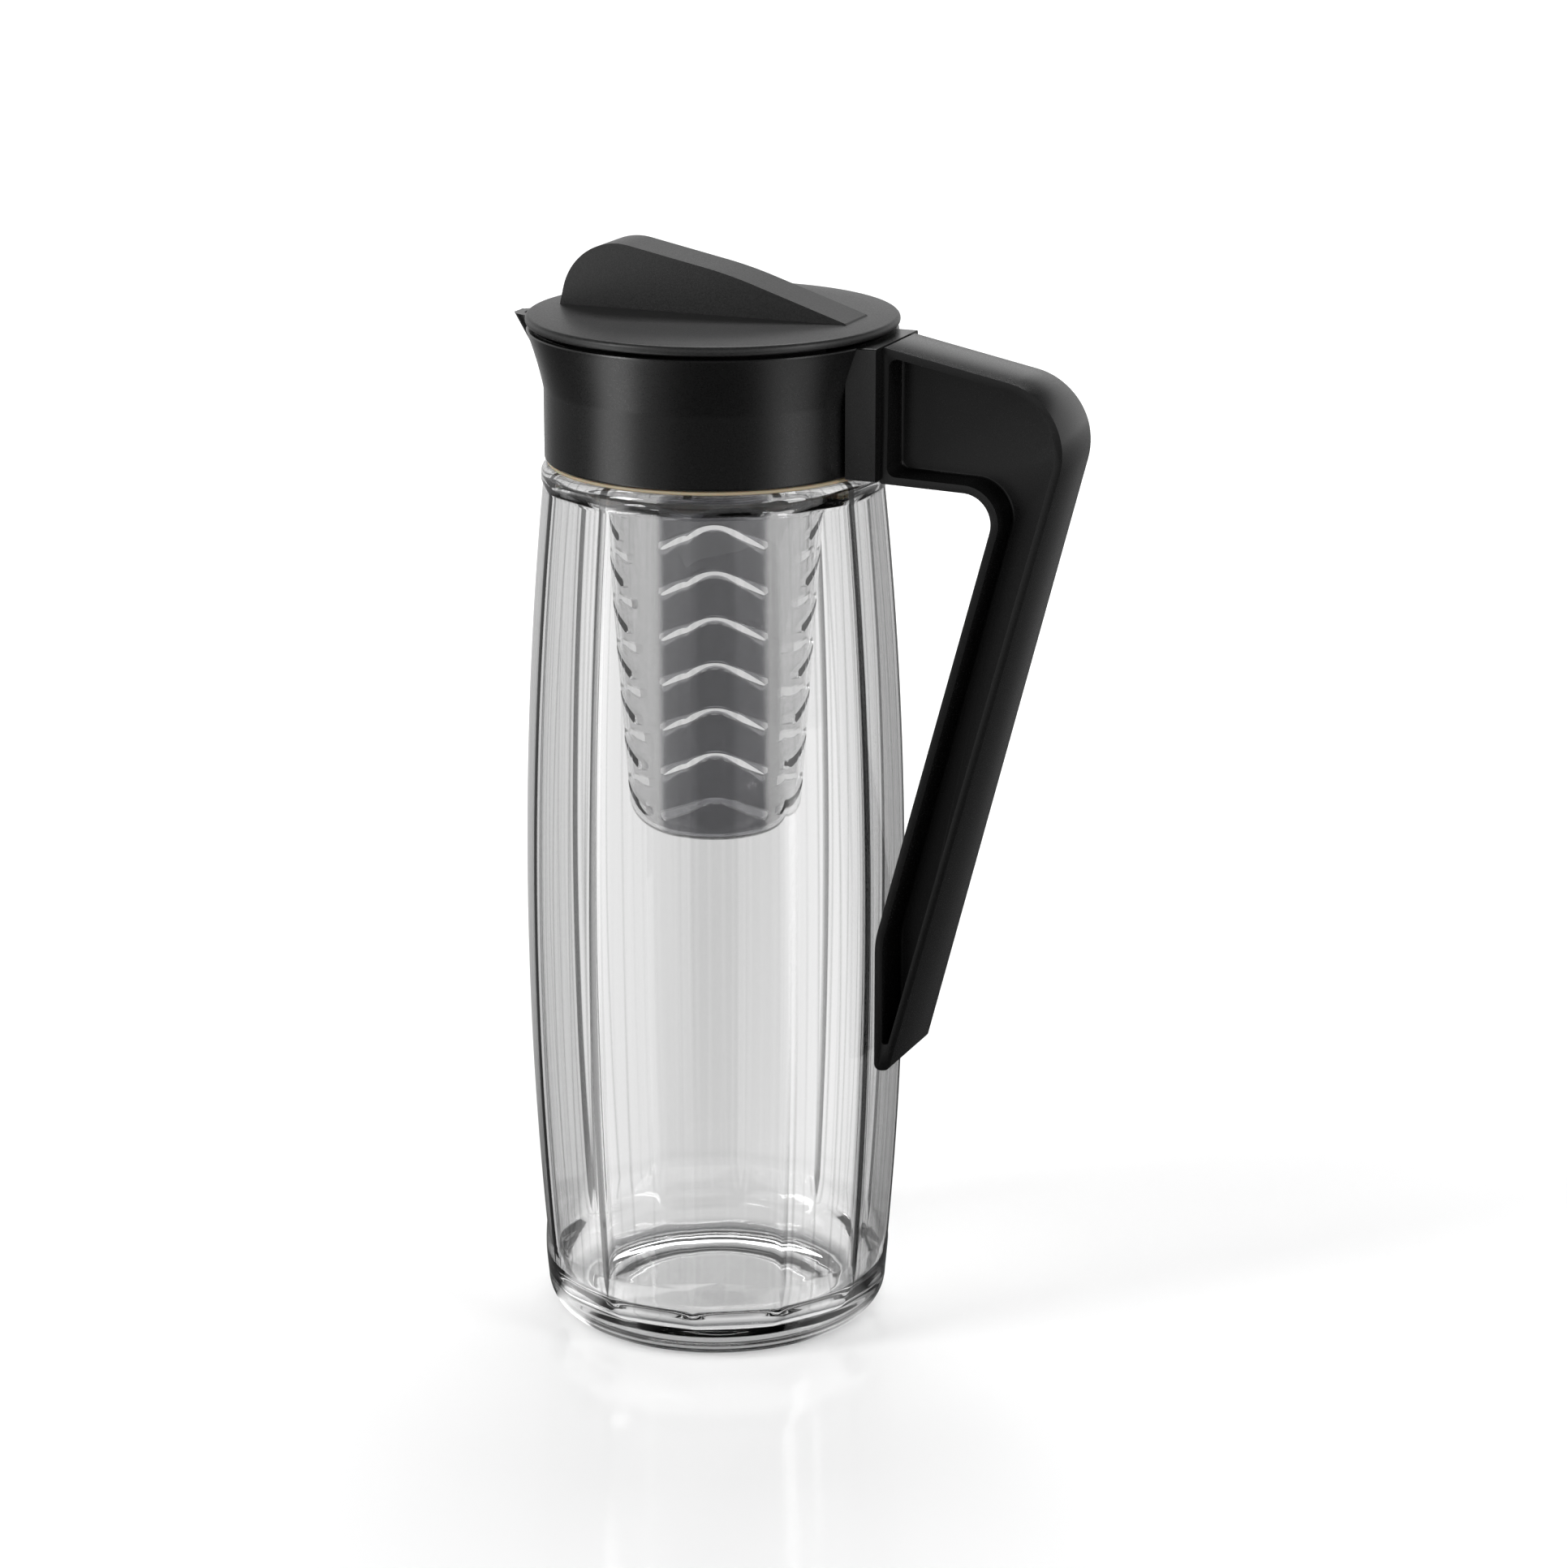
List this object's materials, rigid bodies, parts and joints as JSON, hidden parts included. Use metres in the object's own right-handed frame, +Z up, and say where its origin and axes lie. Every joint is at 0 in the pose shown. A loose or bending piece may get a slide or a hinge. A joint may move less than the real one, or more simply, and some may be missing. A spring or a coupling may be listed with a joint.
{
  "type": "fruit infuser pitcher",
  "caption": "Clear fluted jug with a black pouring collar, long side handle and finned lid that carries a slotted fruit basket.",
  "frame": {"origin": "middle of the flat base that the jug stands on", "axes": "+Z up along the jug's axis, +X towards the handle, -X towards the pouring lip"},
  "size_m": [0.1615, 0.1036, 0.3016],
  "materials": {
    "clear_plastic": "clear polished copolyester",
    "clear_silicone": "translucent silicone",
    "collar_black": "satin moulded polypropylene",
    "handle_black": "satin moulded polypropylene",
    "screw_steel": "stainless steel",
    "lid_black": "finely textured polypropylene",
    "plug_black": "moulded polypropylene",
    "white_silicone": "silicone",
    "clip_steel": "spring steel",
    "smoke_plastic": "smoky see-through copolyester"
  },
  "bodies": {
    "jug": {"jug_body": "clear_plastic", "neck_gasket": "clear_silicone", "collar": "collar_black", "handle": "handle_black", "handle_screws": "screw_steel"},
    "stopper": {"lid_plug": "plug_black", "lid_gasket": "white_silicone"},
    "cover": {"lid_cover": "lid_black", "lid_retainer": "clip_steel"},
    "basket": {"infuser_basket": "smoke_plastic"}
  },
  "joints": [
    {"name": "lid_lift", "type": "slide", "parent": "jug", "child": "stopper", "axis": [0, 0, 1], "range_m": [0, 0.15]},
    {"name": "lid_turn", "type": "hinge", "parent": "stopper", "child": "cover", "pos_m": [0, 0, 0.262], "axis": [0, 0, 1], "range_deg": [-90, 90]},
    {"name": "basket_pull", "type": "slide", "parent": "stopper", "child": "basket", "axis": [0, 0, -1], "range_m": [0, 0.1]}
  ]
}
